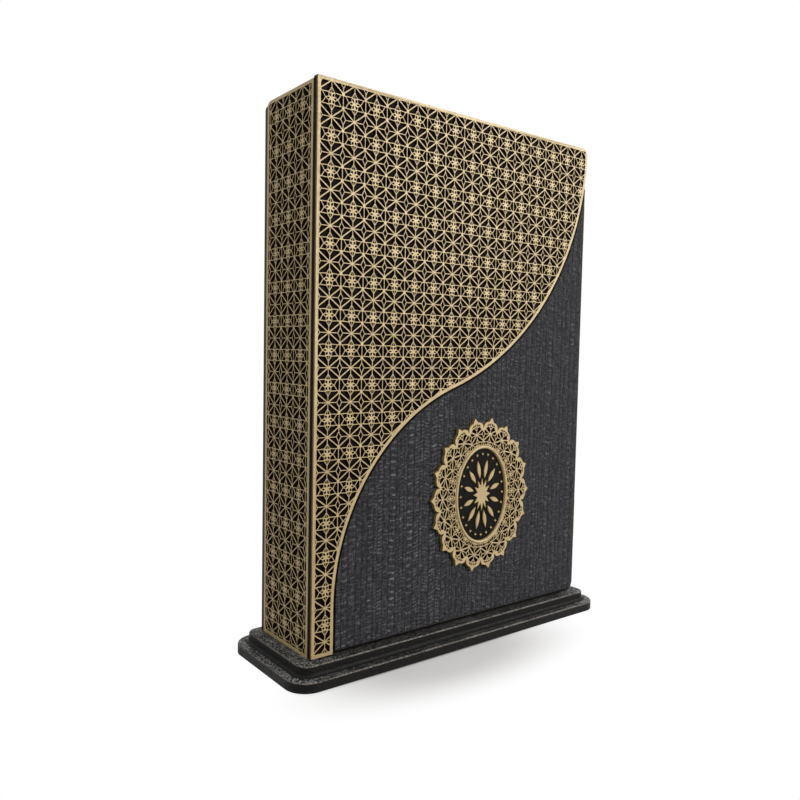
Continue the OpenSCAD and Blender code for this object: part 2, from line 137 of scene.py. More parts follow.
# Plane geometry, with lengths in millimetres
SHORTEST_SIDE = 0.05
SHORTEST_OUTLINE_SIDE = 0.01
SAME_POINT = 1e-7
WHOLE_HULL = 0
SHARP_CORNER = 0.3


def signed_area(loop):
    return sum(a.cross(b) for a, b in zip(loop, loop[1:] + loop[:1])) / 2


def counter_clockwise(loop):
    return loop if signed_area(loop) > 0 else loop[::-1]


def side_normals(loop):
    """Inward normals of the sides of a counter-clockwise loop."""
    out = []
    for a, b in zip(loop, loop[1:] + loop[:1]):
        along = (b - a).normalized()
        out.append(Vector((-along.y, along.x)))
    return out


def inset(loop, gaps):
    """Moves each side of a counter-clockwise loop inwards by its own gap."""
    normals = side_normals(loop)
    out = []
    for i, p in enumerate(loop):
        a = normals[i - 1]
        b = normals[i]
        turn = a.cross(b)
        x = (gaps[i - 1] * b.y - gaps[i] * a.y) / turn
        y = (gaps[i] * a.x - gaps[i - 1] * b.x) / turn
        out.append(p + Vector((x, y)))
    return out


def chamfer_line(loop, by):
    """Moves a counter-clockwise loop inwards, with sharp corners kept short."""
    normals = side_normals(loop)
    out = []
    for i, p in enumerate(loop):
        a = normals[i - 1]
        b = normals[i]
        out.append(p + (a + b) * (by / max(SHARP_CORNER, 1 + a.dot(b))))
    return out


def clip(loop, edge):
    """Keeps the part of a loop where normal . point <= limit."""
    normal, limit = edge
    out = []
    for a, b in zip(loop, loop[1:] + loop[:1]):
        da = limit - normal.dot(a)
        db = limit - normal.dot(b)
        if da >= 0:
            out.append(a)
        if da * db < 0:
            out.append(a + (b - a) * (da / (da - db)))
    return out


def without_short_sides(loop, shortest=SHORTEST_SIDE):
    return [p for i, p in enumerate(loop) if (p - loop[i - 1]).length > shortest]


def arc(centre, radius, start, stop, steps):
    angles = [start + (stop - start) * k / steps for k in range(steps + 1)]
    return [centre + radius * Vector((math.cos(a), math.sin(a))) for a in angles]


def oval_point(width, height, reach, angle):
    return Vector((reach * width / 2 * math.sin(angle), reach * height / 2 * math.cos(angle)))


def oval_loop(width, height, steps=120):
    return [oval_point(width, height, 1, -2 * math.pi * k / steps) for k in range(steps)]


# Fretwork holes

def at(x, y):
    return Vector((x * cell_x, y * cell_y))


def flipped(p):
    return Vector((p.x, -p.y))


def from_middle(radius, degrees):
    angle = math.radians(degrees)
    return Vector((radius * math.cos(angle), radius * math.sin(angle)))


def kite(degrees, start, middle, stop, half_width):
    """A four-sided hole that points away from the middle of a flower."""
    across = from_middle(half_width, degrees + 90)
    centre = from_middle(middle, degrees)
    return [from_middle(start, degrees), centre - across, from_middle(stop, degrees), centre + across]


def repeat_holes(main_bar, fine_bar):
    """Holes of one repeat, as counter-clockwise loops about the middle of a flower."""
    main = main_bar / 2
    fine = fine_bar / 2
    arm = ARM_BAR / 2
    crossing = at(0, 0.5)
    corner = at(0.5, 0.213)
    beam_end = at(0.5, 0.157)
    beam_bend = at(0.4, 0.16)
    shoulder = at(0.124, 0.171)
    tip = at(0, 0.315)
    waist = at(0.265, 0)
    top_petal = at(0, 0.145)
    side_petal = at(0.125, 0.056)
    eye_side = at(EYE_SIDE, 0.5)
    eye_end = at(0.5, EYE_END)
    star = inset([crossing, tip, shoulder, beam_end, corner], [fine, fine, fine, CORNER_GAP, main])
    fan = inset([crossing, corner, eye_end, eye_side], [main, fine, fine, fine])
    beside_flower = inset([side_petal, waist, beam_bend, shoulder], [fine, fine, fine, fine])
    above_flower = inset([top_petal, shoulder, tip], [fine, fine, arm])
    lens = inset([waist, flipped(beam_bend), flipped(beam_end), beam_end, beam_bend], [fine] * 5)
    holes = [inset([eye_side, eye_end, at(1 - EYE_SIDE, 0.5), at(0.5, 1 - EYE_END)], [fine] * 4)]
    for loop in (star, fan, beside_flower, above_flower, kite(*UPRIGHT_SLIT)):
        holes += [[Vector((sx * p.x, sy * p.y)) for p in loop] for sx in (1, -1) for sy in (1, -1)]
    for loop in (lens, kite(*LEVEL_SLIT)):
        holes += [[Vector((sx * p.x, p.y)) for p in loop] for sx in (1, -1)]
    return [counter_clockwise(h) for h in holes]


def curve_edge(point):
    """The line that bounds a hole near the S-curve's border."""
    if point.y < low_centre.y:
        return Vector((1, 0)), CURVE_START - BORDER / 2
    to_low = (point - low_centre).normalized()
    to_high = (point - high_centre).normalized()
    if (high_centre - low_centre).cross(point - low_centre) > 0:
        return -to_low, -(to_low.dot(low_centre) + low_radius + BORDER / 2)
    return to_high, to_high.dot(high_centre) + high_radius - BORDER / 2


def middle_of(loop):
    return sum(loop, Vector((0, 0))) / len(loop)


def sheet_holes(width, height, flower, bars, curved):
    """All holes of a sheet with a flower at the given point, cut off at its frame and at the S-curve."""
    frame_edges = [
        (Vector((-1, 0)), -BORDER), (Vector((1, 0)), width - BORDER),
        (Vector((0, -1)), -BORDER), (Vector((0, 1)), height - BORDER)]
    holes = []
    pattern = repeat_holes(*bars)
    for column in range(-2, math.ceil(width / cell_x) + 1):
        for row in range(-1, math.ceil(height / cell_y) + 1):
            by = Vector((flower[0] + column * cell_x, flower[1] - row * cell_y))
            for loop in pattern:
                moved = [p + by for p in loop]
                edges = frame_edges + ([curve_edge(middle_of(moved))] if curved else [])
                for edge in edges:
                    moved = clip(moved, edge)
                moved = without_short_sides(moved)
                if len(moved) > 2 and signed_area(moved) > SMALLEST_HOLE:
                    holes.append(moved)
    return holes


# Outlines on the door

def curve_line(off):
    """The S-curve from the bottom edge up, moved towards the textile."""
    line = [Vector((CURVE_START + off, 0))]
    line += arc(low_centre, low_radius - off, math.pi, join_angle, ARC_STEPS)
    line += arc(high_centre, high_radius + off, join_angle - math.pi, 0, ARC_STEPS)[1:]
    return line


def curve_inside_door(off):
    """The S-curve up to where it leaves the door, and its end on the door's edge."""
    line = []
    for p in curve_line(off):
        if p.x > door_width:
            q = line[-1]
            line.append(q + (p - q) * ((door_width - q.x) / (p.x - q.x)))
            break
        line.append(p)
    return line


def lattice_outline():
    r = CORNER_ROUND
    top = arc(Vector((door_width - r, door_height - r)), r, 0, math.pi / 2, CORNER_STEPS)
    return [Vector((0, 0))] + curve_inside_door(BORDER / 2) + top + [Vector((0, door_height))]


def textile_top(u):
    """Height of the woven field's upper edge."""
    off = BORDER / 2 + TEXTILE_GAP
    if u < low_centre.x + (low_radius - off) * math.cos(join_angle):
        return low_centre.y + math.sqrt(max(0.0, (low_radius - off) ** 2 - (u - low_centre.x) ** 2))
    return high_centre.y - math.sqrt(max(0.0, (high_radius + off) ** 2 - (u - high_centre.x) ** 2))


def textile_foot(u):
    """Height of the woven field's lower edge, with the door's rounded corner."""
    into_corner = max(0.0, u - (door_width - CORNER_ROUND))
    return TEXTILE_RISE + CORNER_ROUND - math.sqrt(max(0.0, CORNER_ROUND ** 2 - into_corner ** 2))


# Mesh making

def new_mesh(name, verts, faces):
    mesh = bpy.data.meshes.new(name)
    mesh.from_pydata(verts, [], faces)
    mesh.validate()
    mesh.update()
    return mesh


def smooth_mesh(name, verts, faces):
    mesh = new_mesh(name, verts, faces)
    for polygon in mesh.polygons:
        polygon.use_smooth = True
    return mesh


def link(name, mesh, body, slot, nodes, *materials):
    piece = bpy.data.objects.new(name, mesh)
    bpy.context.collection.objects.link(piece)
    for material in materials:
        mesh.materials.append(material)
    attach(piece, body)
    if nodes:
        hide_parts(*nodes)
    return piece


def cut_plate(outline, holes, place, thick, edge):
    """Points of a flat plate with holes and a small chamfer along its face, and its faces in three lists.

    place turns (u, v, depth) into metres, with the face at depth 0. The lists hold the face with its
    chamfers, the back with the sides of the holes, and the outer sides."""
    loops = [without_short_sides(outline, SHORTEST_OUTLINE_SIDE)] + holes
    points = [p for loop in loops for p in loop]
    numbers = []
    start = 0
    for loop in loops:
        numbers.append(list(range(start, start + len(loop))))
        start += len(loop)
    result = delaunay_2d_cdt(points, [], numbers, WHOLE_HULL, SAME_POINT)
    old_of = [group[0] for group in result[3]]
    found = zip(result[2], result[5])
    triangles = [[old_of[i] for i in face] for face, source in found if list(source) == [0]]
    face_points = []
    for k, loop in enumerate(loops):
        face_points += chamfer_line(loop, edge if k == 0 else -edge)
    count = len(points)
    verts = [place(p.x, p.y, 0) for p in face_points]
    verts += [place(p.x, p.y, edge) for p in points]
    verts += [place(p.x, p.y, thick) for p in points]
    outer = list(zip(numbers[0], numbers[0][1:] + numbers[0][:1]))
    inner = [(b, a) for loop in numbers[1:] for a, b in zip(loop, loop[1:] + loop[:1])]
    shown = [tuple(t) for t in triangles] + [(b, a, a + count, b + count) for a, b in outer + inner]
    cut = [tuple(i + 2 * count for i in reversed(t)) for t in triangles]
    cut += [(b + count, a + count, a + 2 * count, b + 2 * count) for a, b in inner]
    rim = [(b + count, a + count, a + 2 * count, b + 2 * count) for a, b in outer]
    return verts, (shown, cut, rim)


def plate_mesh(name, plates):
    """One mesh of cut plates, with a material for each of their three lists of faces."""
    verts = []
    faces = []
    tones = []
    for more_verts, face_lists in plates:
        start = len(verts)
        verts += more_verts
        for tone, face_list in enumerate(face_lists):
            faces += [tuple(i + start for i in face) for face in face_list]
            tones += [tone] * len(face_list)
    mesh = bpy.data.meshes.new(name)
    mesh.from_pydata(verts, [], faces)
    mesh.polygons.foreach_set("material_index", tones)
    mesh.update()
    return mesh


def front_place(face, left=door_left, bottom=door_bottom):
    def place(u, v, depth):
        return ((left + u) * MM, (face + depth) * MM, (bottom + v) * MM)
    return place


def medallion_place(face):
    return front_place(face, medallion_x, medallion_z)


def side_place(node, outward):
    low, high = node_box(node)

    def place(u, v, depth):
        x = (high[0] - depth) if outward > 0 else (low[0] + depth)
        y = (low[1] + u) if outward > 0 else (high[1] - u)
        return (x * MM, y * MM, (low[2] + v) * MM)
    return place


# Materials
DARK_AT = 0.3
LIGHT_AT = 0.7
BRUSH_SPREAD = 0.08


def new_material(name):
    material = bpy.data.materials.new(name)
    material.use_nodes = True
    tree = material.node_tree
    return material, tree, tree.nodes["Principled BSDF"]


def coordinates(tree, scale=(1, 1, 1)):
    source = tree.nodes.new("ShaderNodeTexCoord")
    mapping = tree.nodes.new("ShaderNodeMapping")
    mapping.inputs["Scale"].default_value = scale
    tree.links.new(source.outputs["Object"], mapping.inputs["Vector"])
    return mapping.outputs["Vector"]


def noise(tree, scale, detail=3.0, roughness=0.55, stretch=(1, 1, 1)):
    texture = tree.nodes.new("ShaderNodeTexNoise")
    texture.inputs["Scale"].default_value = scale
    texture.inputs["Detail"].default_value = detail
    texture.inputs["Roughness"].default_value = roughness
    tree.links.new(coordinates(tree, stretch), texture.inputs["Vector"])
    return texture.outputs["Fac"]


def ramp(tree, source, stops):
    node = tree.nodes.new("ShaderNodeValToRGB")
    elements = node.color_ramp.elements
    elements[0].position = stops[0][0]
    elements[0].color = (*stops[0][1], 1)
    elements[1].position = stops[-1][0]
    elements[1].color = (*stops[-1][1], 1)
    for position, colour in stops[1:-1]:
        element = elements.new(position)
        element.color = (*colour, 1)
    tree.links.new(source, node.inputs["Fac"])
    return node.outputs["Color"]


def two_tones(tree, shader, socket, source, dark, light):
    """Feeds one of the shader's sockets with a ramp from dark to light."""
    tone = ramp(tree, source, [(DARK_AT, dark), (LIGHT_AT, light)])
    tree.links.new(tone, shader.inputs[socket])


def math_node(tree, operation, *values):
    node = tree.nodes.new("ShaderNodeMath")
    node.operation = operation
    for socket, value in zip(node.inputs, values):
        if isinstance(value, (int, float)):
            socket.default_value = value
        else:
            tree.links.new(value, socket)
    return node.outputs["Value"]


def map_range(tree, source, low, high):
    """Turns low to high into 0 to 1."""
    node = tree.nodes.new("ShaderNodeMapRange")
    node.inputs["From Min"].default_value = low
    node.inputs["From Max"].default_value = high
    tree.links.new(source, node.inputs["Value"])
    return node.outputs["Result"]


def split_vector(tree, source):
    node = tree.nodes.new("ShaderNodeSeparateXYZ")
    tree.links.new(source, node.inputs["Vector"])
    return [node.outputs[axis] for axis in "XYZ"]


def mix_colour(tree, factor, first, second):
    node = tree.nodes.new("ShaderNodeMix")
    node.data_type = "RGBA"
    tree.links.new(factor, node.inputs["Factor"])
    tree.links.new(first, node.inputs["A"])
    tree.links.new(second, node.inputs["B"])
    return node.outputs["Result"]


def bump(tree, source, shader, distance, strength=1.0):
    node = tree.nodes.new("ShaderNodeBump")
    node.inputs["Distance"].default_value = distance
    node.inputs["Strength"].default_value = strength
    tree.links.new(source, node.inputs["Height"])
    tree.links.new(node.outputs["Normal"], shader.inputs["Normal"])


def grey(value):
    return (value, value, value)


def gold_material():
    material, tree, shader = new_material("pale_gold")
    tint = noise(tree, 180, 4)
    colour = ramp(tree, tint, [
        (0.3, (0.315, 0.23, 0.104)), (0.55, (0.365, 0.27, 0.127)), (0.75, (0.42, 0.318, 0.16))])
    tree.links.new(colour, shader.inputs["Base Color"])
    shader.inputs["Metallic"].default_value = 0.12
    two_tones(tree, shader, "Roughness", noise(tree, 900, 2), grey(0.42), grey(0.58))
    bump(tree, noise(tree, 2600, 2), shader, 0.00004)
    return material


def cut_edge_material():
    """Brown sides of the laser-cut sheets."""
    material, tree, shader = new_material("cut_edge")
    burn = noise(tree, 1, 3, 0.6, (2200, 300, 2200))
    two_tones(tree, shader, "Base Color", burn, (0.016, 0.009, 0.004), (0.045, 0.028, 0.013))
    shader.inputs["Roughness"].default_value = 0.8
    shader.inputs["Specular IOR Level"].default_value = 0.05
    bump(tree, burn, shader, 0.00005)
    return material


def gilt_edge_material():
    """Darker gold on the outer sides of the cut sheets."""
    material, tree, shader = new_material("gilt_edge")
    tint = noise(tree, 300, 3)
    two_tones(tree, shader, "Base Color", tint, (0.12, 0.078, 0.022), (0.19, 0.128, 0.042))
    shader.inputs["Roughness"].default_value = 0.6
    shader.inputs["Specular IOR Level"].default_value = 0.1
    bump(tree, noise(tree, 2600, 2), shader, 0.00004)
    return material


def outer_board_material():
    """Black lacquer over a fine upright grain, for the back and the top."""
    material, tree, shader = new_material("grained_black")
    grain = noise(tree, 1, 4, 0.65, (900, 900, 14))
    colour = ramp(tree, grain, [(0.3, (0.007, 0.0055, 0.0045)), (0.72, (0.021, 0.0165, 0.013))])
    tree.links.new(colour, shader.inputs["Base Color"])
    shader.inputs["Specular IOR Level"].default_value = 0.14
    two_tones(tree, shader, "Roughness", grain, grey(0.42), grey(0.6))
    bump(tree, grain, shader, 0.00012, 0.6)
    return material


def black_material():
    """Black lacquer of the boards behind the fretwork."""
    material, tree, shader = new_material("black_lacquer")
    tint = noise(tree, 120, 4)
    two_tones(tree, shader, "Base Color", tint, (0.0028, 0.0012, 0.0006), (0.0065, 0.0032, 0.0018))
    shader.inputs["Specular IOR Level"].default_value = 0.04
    two_tones(tree, shader, "Roughness", noise(tree, 400, 3), grey(0.55), grey(0.72))
    bump(tree, noise(tree, 1500, 3), shader, 0.00005)
    return material


# Painted top light on the plinth's treads, by the distance in metres from its middle
TREAD_LIGHT_FADES = 0.075
TREAD_LIGHT_FULL = 0.1
LEAST_TREAD_LIGHT = 0.3
PATCH_SHARE = 0.25
PEBBLES = 1100


def colour_with_painted_light(tree, speckle, dark):
    """Dark sides with painted light: treads painted lighter as if lit from above, their specks painted as
    glints and strongest near the ends, and a painted highlight along the rounded edges.
    """
    geometry = tree.nodes.new("ShaderNodeNewGeometry")
    upward = split_vector(tree, geometry.outputs["Normal"])[2]
    # Painted top light: faces that look straight up, the treads, are painted lighter
    tread = map_range(tree, upward, 0.9, 0.98)
    # Painted highlight: faces that look half up, the rounded edges, are painted light
    edge = ramp(tree, upward, [(0.2, grey(0)), (0.5, grey(1)), (0.85, grey(1)), (0.96, grey(0))])
    patches = noise(tree, 90, 3, 0.6)
    patchy_speckle = math_node(tree, "MULTIPLY_ADD", patches, PATCH_SHARE, speckle)
    # Treads: the lacquer's specks painted light, as painted top light and painted glints
    painted_light = ramp(tree, patchy_speckle, [
        (0.53, (0.006, 0.0067, 0.007)), (0.62, (0.025, 0.0257, 0.025)), (0.74, (0.26, 0.257, 0.248))])
    # Colour of the painted highlight along the rounded edges
    painted_edge_highlight = ramp(tree, patchy_speckle, [(0.53, (0.035, 0.031, 0.027)), (0.72, (0.175, 0.156, 0.136))])
    along = split_vector(tree, coordinates(tree))[0]
    # The painted top light on the treads is strongest near both ends
    near_end = map_range(tree, math_node(tree, "ABSOLUTE", along), TREAD_LIGHT_FADES, TREAD_LIGHT_FULL)
    tread_light_share = math_node(tree, "MULTIPLY_ADD", near_end, 1 - LEAST_TREAD_LIGHT, LEAST_TREAD_LIGHT)
    on_top = mix_colour(tree, math_node(tree, "MULTIPLY", tread, tread_light_share), dark, painted_light)
    return mix_colour(tree, edge, on_top, painted_edge_highlight)


def plinth_material(name, painted_light):
    """Black pebbled lacquer."""
    material, tree, shader = new_material(name)
    speckle = noise(tree, PEBBLES, 2, 0.8)
    dark = ramp(tree, speckle, [(0.35, (0.004, 0.0037, 0.0035)), (0.7, (0.011, 0.0102, 0.0095))])
    # With the flag set, the treads get painted top light and the rounded edges a painted highlight
    colour = colour_with_painted_light(tree, speckle, dark) if painted_light else dark
    tree.links.new(colour, shader.inputs["Base Color"])
    shader.inputs["Specular IOR Level"].default_value = 0.08
    two_tones(tree, shader, "Roughness", noise(tree, 700, 2), grey(0.4), grey(0.6))
    pebbles = tree.nodes.new("ShaderNodeTexVoronoi")
    pebbles.inputs["Scale"].default_value = PEBBLES
    tree.links.new(coordinates(tree), pebbles.inputs["Vector"])
    bump(tree, pebbles.outputs["Distance"], shader, 0.0003, 0.7)
    return material


def named_attribute(tree, name, output):
    node = tree.nodes.new("ShaderNodeAttribute")
    node.attribute_name = name
    return node.outputs[output]


# Stitches of the textile: their wobble in millimetres, how much they lighten it, and how much lighter the
# ribs' crowns are painted than the grooves, as painted shade and highlight
STITCH_WOBBLE = 2.2
STITCH_LIGHT = 0.55
PAINTED_CROWN_LIGHT = 0.12


def textile_material():
    """Charcoal weave: slanted stitches along the ribs of the mesh, and fine threads between them, with
    the ribs' crowns painted lighter than their grooves as painted shade.
    """
    material, tree, shader = new_material("charcoal_weave")
    spacing, lean, phase = split_vector(tree, named_attribute(tree, "stitch", "Vector"))
    across = named_attribute(tree, "across", "Fac")
    strength = named_attribute(tree, "strength", "Fac")
    height = split_vector(tree, coordinates(tree, (1 / MM, 1 / MM, 1 / MM)))[2]
    wobble = noise(tree, 1, 2, 0.5, (350, 350, 350))
    place = math_node(tree, "MULTIPLY_ADD", lean, across, height)
    place = math_node(tree, "MULTIPLY_ADD", wobble, STITCH_WOBBLE, place)
    turns = math_node(tree, "ADD", math_node(tree, "DIVIDE", place, spacing), phase)
    wave = math_node(tree, "SINE", math_node(tree, "MULTIPLY", turns, 2 * math.pi))
    stitch = map_range(tree, wave, 0.25, 0.95)
    # Painted shade: colour darker towards the grooves between ribs, lighter on their crowns
    from_groove = math_node(tree, "PINGPONG", across, 0.5)
    crown = map_range(tree, from_groove, 0.0, 0.16)
    fading = map_range(tree, noise(tree, 1, 2, 0.5, (160, 160, 260)), 0.3, 0.65)
    stitch = math_node(tree, "MULTIPLY", stitch, strength)
    stitch = math_node(tree, "MULTIPLY", math_node(tree, "MULTIPLY", stitch, fading), crown)
    threads = noise(tree, 1, 3, 0.75, (1500, 1500, 260))
    knots = noise(tree, 1, 3, 0.75, (420, 420, 1300))
    fibres = math_node(tree, "ADD", threads, knots)
    tone = math_node(tree, "MULTIPLY_ADD", stitch, STITCH_LIGHT, fibres)
    # Painted highlight on the ribs' crowns, painted shade in the grooves
    tone = math_node(tree, "MULTIPLY_ADD", crown, PAINTED_CROWN_LIGHT, tone)
    colour = ramp(tree, map_range(tree, tone, 0.78, 1.72), [
        (0.1, (0.005, 0.005, 0.006)), (0.33, (0.016, 0.016, 0.018)), (0.55, (0.042, 0.041, 0.044)),
        (1.0, (0.165, 0.163, 0.165))])
    tree.links.new(colour, shader.inputs["Base Color"])
    shader.inputs["Roughness"].default_value = 0.85
    shader.inputs["Specular IOR Level"].default_value = 0.12
    shader.inputs["Sheen Weight"].default_value = 0.04
    shader.inputs["Sheen Roughness"].default_value = 0.5
    bump(tree, tone, shader, 0.0003, 0.8)
    return material


def velvet_material():
    material, tree, shader = new_material("dark_velvet")
    nap = noise(tree, 60, 4)
    two_tones(tree, shader, "Base Color", nap, (0.017, 0.007, 0.009), (0.029, 0.012, 0.015))
    shader.inputs["Roughness"].default_value = 0.9
    shader.inputs["Sheen Weight"].default_value = 0.35
    shader.inputs["Sheen Roughness"].default_value = 0.35
    bump(tree, noise(tree, 3500, 2), shader, 0.0001)
    return material


def felt_material():
    material, tree, shader = new_material("black_felt")
    two_tones(tree, shader, "Base Color", noise(tree, 900, 4), grey(0.010), grey(0.028))
    shader.inputs["Roughness"].default_value = 0.95
    bump(tree, noise(tree, 2500, 3), shader, 0.0002)
    return material


def metal_material(name, dark, light, rough):
    material, tree, shader = new_material(name)
    two_tones(tree, shader, "Base Color", noise(tree, 300, 3), dark, light)
    shader.inputs["Metallic"].default_value = 1.0
    brushed = noise(tree, 1, 2, 0.5, (6000, 6000, 400))
    two_tones(tree, shader, "Roughness", brushed, grey(rough - BRUSH_SPREAD), grey(rough + BRUSH_SPREAD))
    bump(tree, brushed, shader, 0.00002)
    return material


def oval_material():
    material, tree, shader = new_material("satin_black")
    speckle = noise(tree, 500, 3)
    two_tones(tree, shader, "Base Color", speckle, (0.002, 0.0016, 0.001), (0.006, 0.0048, 0.0034))
    shader.inputs["Roughness"].default_value = 0.5
    shader.inputs["Specular IOR Level"].default_value = 0.05
    bump(tree, noise(tree, 1800, 2), shader, 0.00008)
    return material


def rubber_material():
    material, tree, shader = new_material("soft_rubber")
    two_tones(tree, shader, "Base Color", noise(tree, 600, 3), grey(0.015), grey(0.03))
    shader.inputs["Roughness"].default_value = 0.75
    bump(tree, noise(tree, 2200, 2), shader, 0.00006)
    return material


gold = gold_material()
cut_edge = cut_edge_material()
gilt_edge = gilt_edge_material()
black = black_material()
outer_board = outer_board_material()
# Plinth with painted light on its treads and edges; its cove without
plinth = plinth_material("pebbled_black", True)
cove_black = plinth_material("pebbled_black_cove", False)
textile = textile_material()
velvet = velvet_material()
felt = felt_material()
brass = metal_material("satin_brass", (0.55, 0.38, 0.15), (0.68, 0.49, 0.22), 0.34)
steel = metal_material("plain_steel", (0.45, 0.45, 0.46), (0.6, 0.6, 0.62), 0.32)
oval_black = oval_material()
rubber = rubber_material()

SLOT_MATERIALS = {
    "black_board": black, "plinth_black": plinth, "velvet": velvet, "felt": felt, "brass": brass,
    "steel": steel, "oval_black": oval_black, "rubber": rubber, "gold_fret": gold, "textile": textile,
}
OUTER_BOARDS = ("back_panel", "top_panel")
for part in frame["record"]["subparts"]:
    finish = outer_board if part["node"] in OUTER_BOARDS else SLOT_MATERIALS[part["material_slot"]]
    for holder in frame["nodes"][part["node"]].material_slots:
        holder.material = finish


# Fretwork sheets

def make_door_fretwork():
    holes = sheet_holes(door_width, door_height, first_flower, (MAIN_BAR, FINE_BAR), True)
    shape = cut_plate(lattice_outline(), holes, front_place(door_face), fret_thick, FRET_EDGE)
    mesh = plate_mesh("door_fretwork", [shape])
    link("door_fretwork", mesh, "door", "gold_fret", ["door_lattice"], gold, cut_edge, gilt_edge)


def side_outline(width, height, outward):
    """A side sheet with its upper rear corner rounded, as the back panel's is."""
    r = SIDE_ROUND
    foot = [Vector((0, 0)), Vector((width, 0))]
    if outward > 0:
        rear = arc(Vector((width - r, height - r)), r, 0, math.pi / 2, CORNER_STEPS)
        return foot + rear + [Vector((0, height))]
    rear = arc(Vector((r, height - r)), r, math.pi / 2, math.pi, CORNER_STEPS)
    return foot + [Vector((width, height))] + rear


def make_side_fretwork():
    """Both sides: the holes are laid out on a lower sheet and then stretched to the height.

    On the left, where the door opens, the sheet's frame reaches over most of the seam."""
    width = side_high[1] - side_low[1]
    height = side_high[2] - side_low[2]
    low_height = height / SIDE_STRETCH
    flower_height = low_height - (door_height - first_flower[1])
    bars = (SIDE_MAIN_BAR, SIDE_FINE_BAR)
    for side, outward, reach in (("left", -1, width + SEAM_COVER), ("right", 1, width)):
        low_holes = sheet_holes(reach, low_height, (reach / 2, flower_height), bars, False)
        holes = [[Vector((p.x, p.y * SIDE_STRETCH)) for p in loop] for loop in low_holes]
        node = side + "_lattice"
        outline = side_outline(reach, height, outward)
        shape = cut_plate(outline, holes, side_place(node, outward), fret_thick, FRET_EDGE)
        name = side + "_fretwork"
        mesh = plate_mesh(name, [shape])
        link(name, mesh, "case", "gold_fret", [node], gold, cut_edge, gilt_edge)


make_door_fretwork()
make_side_fretwork()

# Woven field: upright ribs of uneven width, each with its own slanted stitches
WEAVE_SEED = 11
RIB_WIDTHS = (1.8, 5.2)
RIB_STEPS = 5
WEAVE_ROWS = 90
WEAVE_LOWEST = 0.55
STITCH_SPACINGS = (1.5, 3.8)
STITCH_LEAN = 1.6
STITCH_STRENGTHS = (0.25, 0.9)
STRENGTH_FADE = 0.55
RIB_FULLNESS = 0.7
RIB_SWELL = 0.15
RIB_SWELL_LENGTH = 5.1
RIB_SWELL_SHIFT = 7


def weave_ribs(first):
    draw = random.Random(WEAVE_SEED)
    edges = [first]
    while edges[-1] < door_width - RIB_WIDTHS[1]:
        edges.append(edges[-1] + draw.uniform(*RIB_WIDTHS))
    edges.append(door_width)
    ribs = []
    for start, stop in zip(edges, edges[1:]):
        stitch = (draw.uniform(*STITCH_SPACINGS), draw.uniform(-STITCH_LEAN, STITCH_LEAN), draw.random())
        strength = draw.uniform(*STITCH_STRENGTHS) * (1 - STRENGTH_FADE * start / door_width)
        ribs.append({"start": start, "width": stop - start, "stitch": stitch, "strength": strength})
    return ribs


def closed_sheet(verts, rows, columns, thin, back):
    """Faces of a grid of points, closed by a rim and a flat back on the plane thin = back.

    Adds the back's points to verts. The grid's faces come first."""
    faces = []
    for i in range(columns - 1):
        for j in range(rows - 1):
            k = i * rows + j
            faces.append((k, k + rows, k + rows + 1, k + 1))
    border = [i * rows for i in range(columns - 1)] + [(columns - 1) * rows + j for j in range(rows - 1)]
    border += [i * rows + rows - 1 for i in range(columns - 1, 0, -1)] + list(range(rows - 1, 0, -1))
    start = len(verts)
    for k in border:
        p = list(verts[k])
        p[thin] = back
        verts.append(tuple(p))
    total = len(border)
    for k in range(total):
        after = (k + 1) % total
        faces.append((border[after], border[k], start + k, start + after))
    faces.append(tuple(start + k for k in reversed(range(total))))
    return faces


def mark_weave(mesh, faces, marks):
    """Stores the stitches of each rib on its faces, and smooths them. The rim and the back have none."""
    grid_faces = (len(marks) - 1) * WEAVE_ROWS
    step = 1 / RIB_STEPS
    stitches = []
    strengths = []
    acrosses = []
    for number, face in enumerate(faces):
        on_grid = number < grid_faces
        rib, across = marks[number // WEAVE_ROWS if on_grid else 0]
        stitches += rib["stitch"]
        strengths.append(rib["strength"] if on_grid else 0.0)
        acrosses += [across, across + step, across + step, across] if on_grid else [0.0] * len(face)
    mesh.attributes.new("stitch", "FLOAT_VECTOR", "FACE").data.foreach_set("vector", stitches)
    mesh.attributes.new("strength", "FLOAT", "FACE").data.foreach_set("value", strengths)
    mesh.attributes.new("across", "FLOAT", "CORNER").data.foreach_set("value", acrosses)
    mesh.polygons.foreach_set("use_smooth", [number < grid_faces for number in range(len(faces))])


def make_woven_field():
    thick = textile_high[1] - textile_low[1]
    place = front_place(textile_low[1])
    first = CURVE_START + BORDER / 2 + TEXTILE_GAP
    ribs = weave_ribs(first)
    marks = [(rib, k / RIB_STEPS) for rib in ribs for k in range(RIB_STEPS)] + [(ribs[-1], 1.0)]
    verts = []
    for rib, across in marks:
        u = rib["start"] + rib["width"] * across
        foot = textile_foot(u)
        top = textile_top(u)
        crown = math.sin(math.pi * across) ** RIB_FULLNESS if 0 < across < 1 else 0.0
        shift = RIB_SWELL_SHIFT * rib["stitch"][2]
        for j in range(WEAVE_ROWS + 1):
            v = foot + (top - foot) * j / WEAVE_ROWS
            swell = 1 - RIB_SWELL + RIB_SWELL * math.sin(v / RIB_SWELL_LENGTH + shift)
            height = crown * swell if 0 < j < WEAVE_ROWS else 0.0
            verts.append(place(u, v, thick * (1 - WEAVE_LOWEST) * (1 - height)))
    faces = closed_sheet(verts, WEAVE_ROWS + 1, len(marks), 1, textile_high[1] * MM)
    mesh = bpy.data.meshes.new("woven_field")
    mesh.from_pydata(verts, [], faces)
    mark_weave(mesh, faces, marks)
    mesh.update()
    piece = link("woven_field", mesh, "door", "textile", ["textile_panel"], textile)
    height = textile_top(door_width)


make_woven_field()

